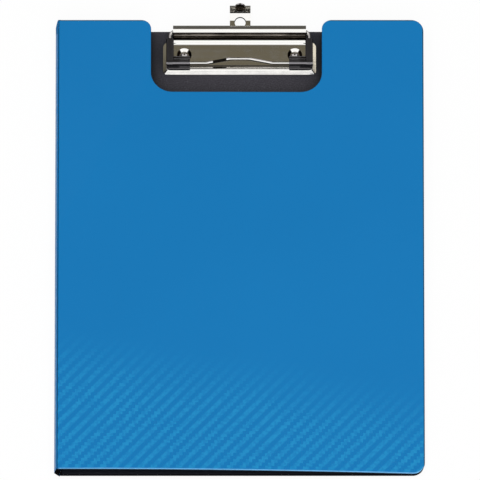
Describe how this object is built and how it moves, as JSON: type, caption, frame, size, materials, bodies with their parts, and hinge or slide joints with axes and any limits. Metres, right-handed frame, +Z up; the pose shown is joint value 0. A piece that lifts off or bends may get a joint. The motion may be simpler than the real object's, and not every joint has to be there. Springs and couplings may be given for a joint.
{
  "type": "clipboard folder",
  "caption": "Clipboard folder with a stiff back, a folding front cover notched round a low wire clip, and a pull-out hanger.",
  "frame": {"origin": "on the back's resting face, below the middle of the cover and in line with the clip's middle", "axes": "+X from the spine to the free edge, +Y to the clip end, +Z up out of the front cover"},
  "size_m": [0.24, 0.3321, 0.0138],
  "materials": {
    "cover_blue": "satin film",
    "board_black": "fine grain",
    "nickel": "bright nickel plate",
    "sleeve_black": "semi-gloss",
    "pocket_clear": "clear film"
  },
  "bodies": {
    "board": {"back_board": "board_black", "back_cover": "cover_blue", "clip_base": "nickel", "rivet_left": "nickel", "rivet_right": "nickel"},
    "spine": {"spine_strip": "cover_blue"},
    "cover": {"front_cover": "cover_blue", "front_lining": "board_black", "document_pocket": "pocket_clear"},
    "bail": {"wire_bail": "nickel", "sleeve_left": "sleeve_black", "sleeve_right": "sleeve_black"},
    "hanger": {"hanger_tab": "nickel"}
  },
  "joints": [
    {"name": "spine_fold", "type": "hinge", "parent": "board", "child": "spine", "pos_m": [-0.1165, 0, 0.00045], "axis": [0, -1, 0], "range_deg": [0, 180]},
    {"name": "cover_fold", "type": "hinge", "parent": "spine", "child": "cover", "pos_m": [-0.1183, 0, 0.01255], "axis": [0, -1, 0], "range_deg": [0, 180]},
    {"name": "bail_lift", "type": "hinge", "parent": "board", "child": "bail", "pos_m": [0, 0.15324, 0.0104], "axis": [-1, 0, 0], "range_deg": [0, 100]},
    {"name": "hanger_slide", "type": "slide", "parent": "board", "child": "hanger", "axis": [0, 1, 0], "range_m": [-0.0115, 0]}
  ]
}
